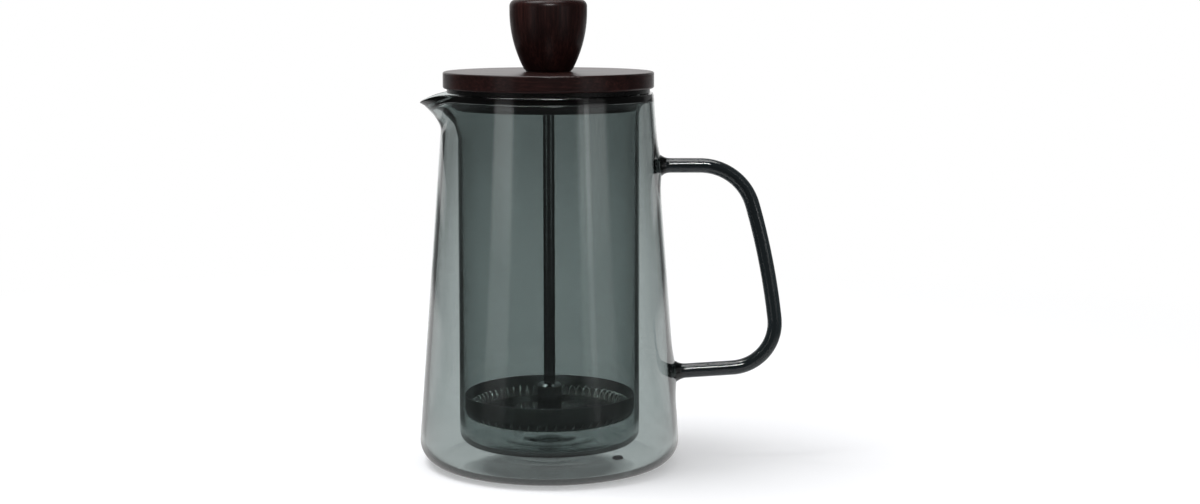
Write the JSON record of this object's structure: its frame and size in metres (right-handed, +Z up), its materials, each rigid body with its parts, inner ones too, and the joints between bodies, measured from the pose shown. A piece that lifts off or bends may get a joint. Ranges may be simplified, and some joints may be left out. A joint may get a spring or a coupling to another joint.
{
  "type": "coffee press",
  "caption": "Double-walled smoked glass coffee press with a pulled spout, bent glass handle, turned wooden lid and knob, and a sprung mesh plunger.",
  "frame": {"origin": "centre of the foot, on the plane that the press stands on", "axes": "+Z up along the vessel's axis, +X towards the handle, -X towards the spout, -Y towards the viewer"},
  "size_m": [0.157, 0.1124, 0.1994],
  "materials": {
    "smoked_glass": "polished, smoked grey, see-through",
    "dark_wood": "dark red-brown stain, satin lacquer",
    "black_plastic": "moulded, half gloss",
    "dark_silicone": "smooth silicone",
    "steel": "polished stainless",
    "mesh": "fine woven stainless wire",
    "brass": "turned"
  },
  "bodies": {
    "beaker": {"outer_glass": "smoked_glass", "inner_glass": "smoked_glass", "glass_handle": "smoked_glass", "vent_plug": "dark_silicone"},
    "seal": {"lid_gasket": "dark_silicone"},
    "lid": {"lid_disc": "dark_wood", "lid_insert": "black_plastic", "lid_screws": "steel"},
    "sleeve": {"rod_bush": "steel", "bush_clip": "steel"},
    "plunger": {"knob": "dark_wood", "knob_insert": "brass", "plunger_rod": "steel", "filter_hub": "steel", "spiral_plate": "steel", "coil_spring": "steel", "mesh_screen": "mesh", "cross_plate": "steel", "filter_washer": "steel", "filter_nut": "steel"}
  },
  "joints": [
    {"name": "lid_lift", "type": "slide", "parent": "beaker", "child": "seal", "axis": [0, 0, 1], "range_m": [0, 0.15]},
    {"name": "lid_turn", "type": "hinge", "parent": "seal", "child": "lid", "pos_m": [0, 0, 0.16], "axis": [0, 0, 1], "continuous": true},
    {"name": "plunger_turn", "type": "hinge", "parent": "lid", "child": "sleeve", "pos_m": [0, 0, 0.16], "axis": [0, 0, 1], "continuous": true},
    {"name": "plunger_slide", "type": "slide", "parent": "sleeve", "child": "plunger", "axis": [0, 0, 1], "range_m": [0, 0.118]}
  ]
}
